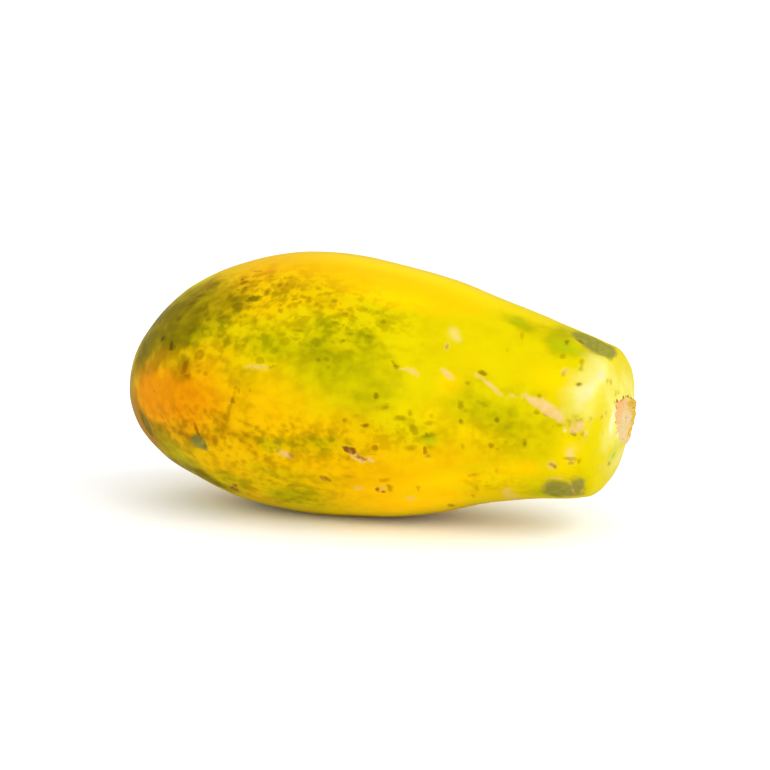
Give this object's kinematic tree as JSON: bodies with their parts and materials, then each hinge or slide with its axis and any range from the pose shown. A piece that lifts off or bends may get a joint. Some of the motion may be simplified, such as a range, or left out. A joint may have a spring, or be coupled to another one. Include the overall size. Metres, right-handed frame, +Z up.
{
  "type": "papaya",
  "caption": "Whole ripe papaya lying on its side: a plump, blunt blossom end, a narrowing five-ridged neck, and a raised corky scar where the stem was cut.",
  "frame": {"origin": "on the surface that the fruit rests on, under the middle of its bounding box", "axes": "+X along the fruit to its stem end, +Z up from the surface it rests on, -Y to the side whose middle ridge faces the viewer"},
  "size_m": [0.2484, 0.1242, 0.1216],
  "materials": {
    "skin": "satin"
  },
  "bodies": {
    "root": {"papaya": "skin"}
  },
  "joints": []
}
